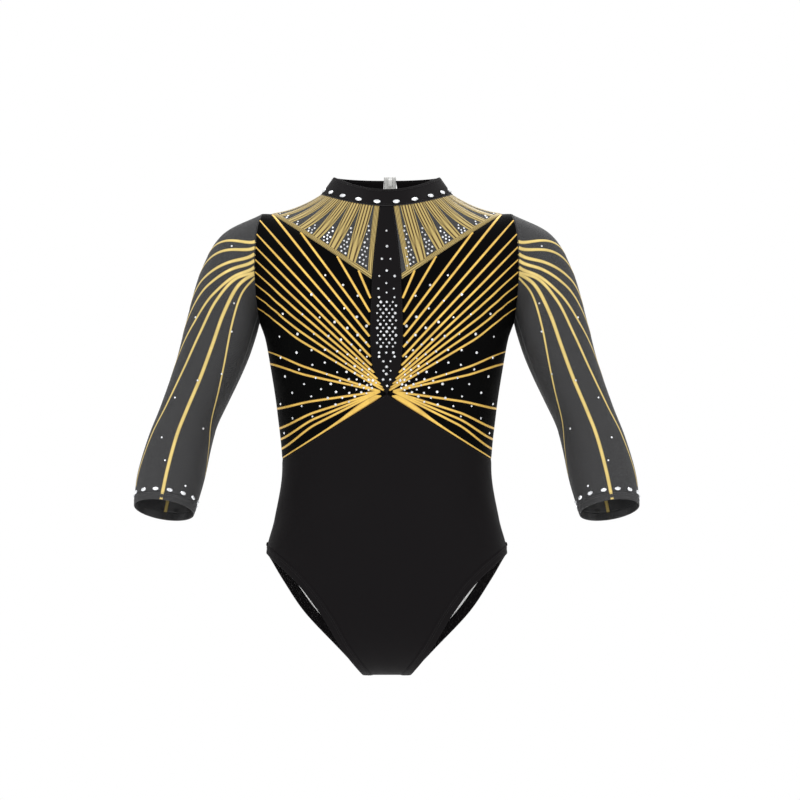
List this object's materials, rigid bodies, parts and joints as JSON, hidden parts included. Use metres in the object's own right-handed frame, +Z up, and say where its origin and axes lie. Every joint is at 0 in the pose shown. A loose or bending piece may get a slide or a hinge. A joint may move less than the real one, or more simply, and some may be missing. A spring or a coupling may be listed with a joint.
{
  "type": "cheer uniform leotard",
  "caption": "Mock-neck competition leotard with sheer three-quarter sleeves, gold ray pattern, set stones and a white centre-back zip, in its worn shape",
  "frame": {"origin": "centre of the neck opening at the height where the collar meets the shoulders, inside the body form that holds the garment", "axes": "+Z up, the front faces -Y, +X is the wearer's left"},
  "size_m": [0.647, 0.2316, 0.6442],
  "materials": {
    "black_knit": "black nylon and elastane knit, soft sheen",
    "ray_knit": "black knit with gold foil rays",
    "fan_knit": "sheer grey windows between gold foil fan lines",
    "sheer_mesh": "charcoal power mesh, see-through",
    "lining_knit": "dull black lining",
    "label_satin": "blank white woven satin",
    "zip_white": "white woven tape and nylon coil",
    "zip_metal": "white enamelled zinc",
    "crystal": "faceted foil-backed glass",
    "gold_foil": "gold foil bonded to knit"
  },
  "bodies": {
    "garment": {"front_lower_panel": "black_knit", "back_lower_panel": "black_knit", "front_centre_panel": "black_knit", "collar": "black_knit", "leg_band_left": "black_knit", "leg_band_right": "black_knit", "front_yoke_left": "fan_knit", "front_bodice_left": "ray_knit", "back_yoke_left": "fan_knit", "back_bodice_left": "ray_knit", "upper_sleeve_left": "sheer_mesh", "lower_sleeve_left": "sheer_mesh", "cuff_band_left": "sheer_mesh", "zip_tape_left": "zip_white", "zip_chain_left": "zip_white", "zip_top_stop_left": "zip_metal", "front_yoke_right": "fan_knit", "front_bodice_right": "ray_knit", "back_yoke_right": "fan_knit", "back_bodice_right": "ray_knit", "upper_sleeve_right": "sheer_mesh", "lower_sleeve_right": "sheer_mesh", "cuff_band_right": "sheer_mesh", "zip_tape_right": "zip_white", "zip_chain_right": "zip_white", "zip_top_stop_right": "zip_metal", "zip_bottom_stop": "zip_metal", "crotch_lining": "lining_knit", "collar_lining": "lining_knit", "care_label": "label_satin", "collar_stone_01": "crystal", "collar_stone_02": "crystal", "collar_stone_03": "crystal", "collar_stone_04": "crystal", "collar_stone_05": "crystal", "collar_stone_06": "crystal", "collar_stone_07": "crystal", "collar_stone_08": "crystal", "collar_stone_09": "crystal", "collar_stone_10": "crystal", "collar_stone_11": "crystal", "collar_stone_12": "crystal", "collar_stone_13": "crystal", "collar_stone_14": "crystal", "collar_stone_15": "crystal", "collar_stone_16": "crystal", "collar_stone_17": "crystal", "collar_stone_18": "crystal", "collar_stone_19": "crystal", "collar_stone_20": "crystal"},
    "slider": {"zip_slider": "zip_metal"},
    "pull_tab": {"zip_pull_tab": "zip_metal"}
  },
  "joints": [
    {"name": "zip_slide", "type": "slide", "parent": "garment", "child": "slider", "axis": [0, 0.1765, -0.9843], "range_m": [0, 0.1964]},
    {"name": "pull_tab_swing", "type": "hinge", "parent": "slider", "child": "pull_tab", "pos_m": [0.004, 0.06468, 0.02067], "axis": [1, 0, 0], "range_deg": [0, 170]}
  ]
}
